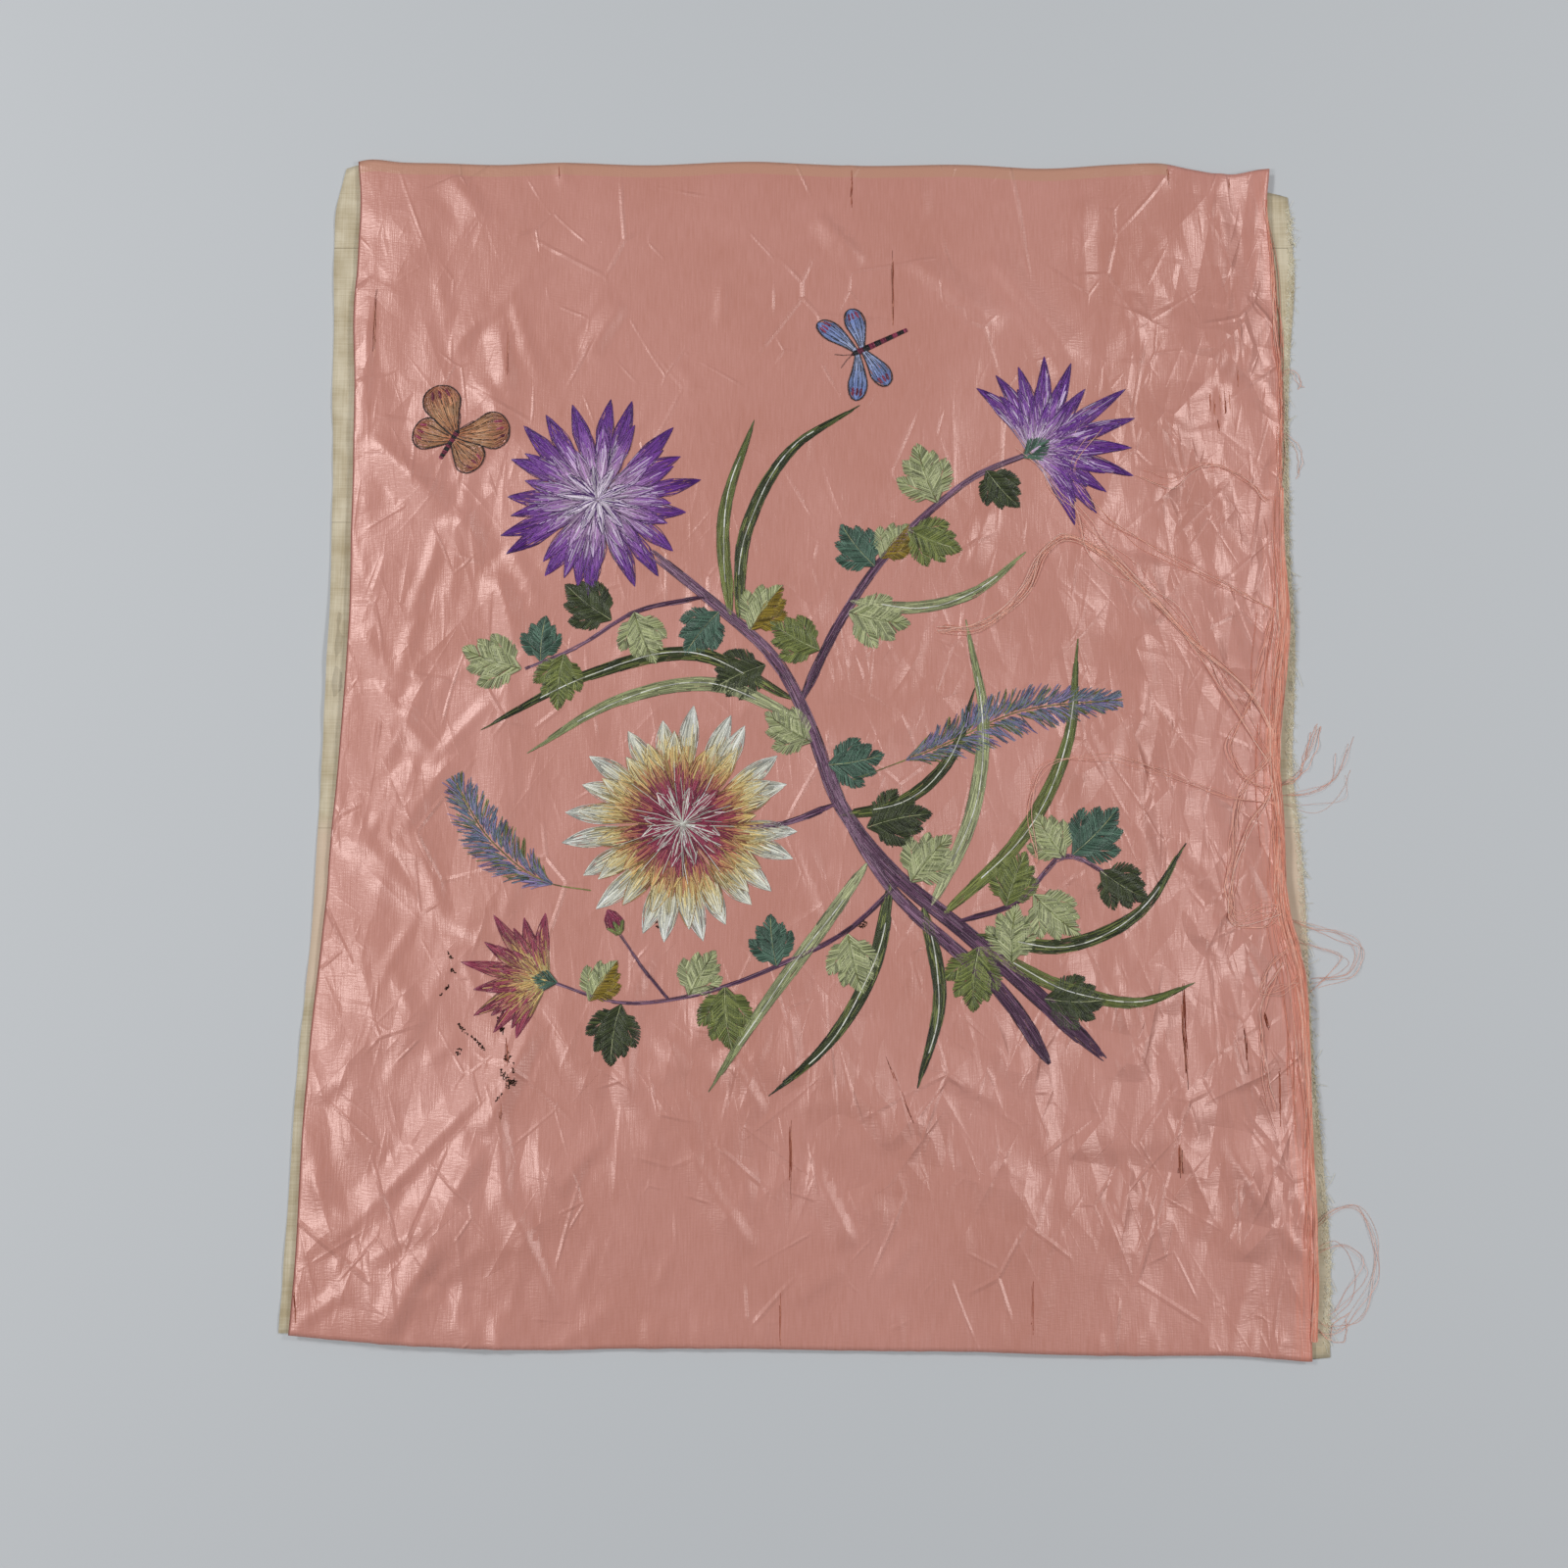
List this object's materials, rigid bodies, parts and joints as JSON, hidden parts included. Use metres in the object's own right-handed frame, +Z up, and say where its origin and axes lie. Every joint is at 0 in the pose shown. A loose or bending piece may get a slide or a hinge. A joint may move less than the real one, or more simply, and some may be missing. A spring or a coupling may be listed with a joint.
{
  "type": "silk embroidery panel",
  "caption": "Crumpled rectangular embroidered silk satin panel on a cotton lining, laid flat, frayed along one side with loose threads.",
  "frame": {"origin": "middle of the panel, on the surface that it lies on", "axes": "+X to the frayed side of the panel, +Y to its selvedge band at the top, +Z up out of its face"},
  "size_m": [0.5434, 0.623, 0.0067],
  "materials": {
    "silk_satin": "pink silk satin ground with silk embroidery, soft sheen",
    "cotton_lining": "matte cream plain-weave cotton",
    "loose_thread": "loose pink silk threads"
  },
  "bodies": {
    "root": {"satin_face": "silk_satin", "cotton_lining": "cotton_lining", "frayed_edge": "loose_thread"}
  },
  "joints": []
}
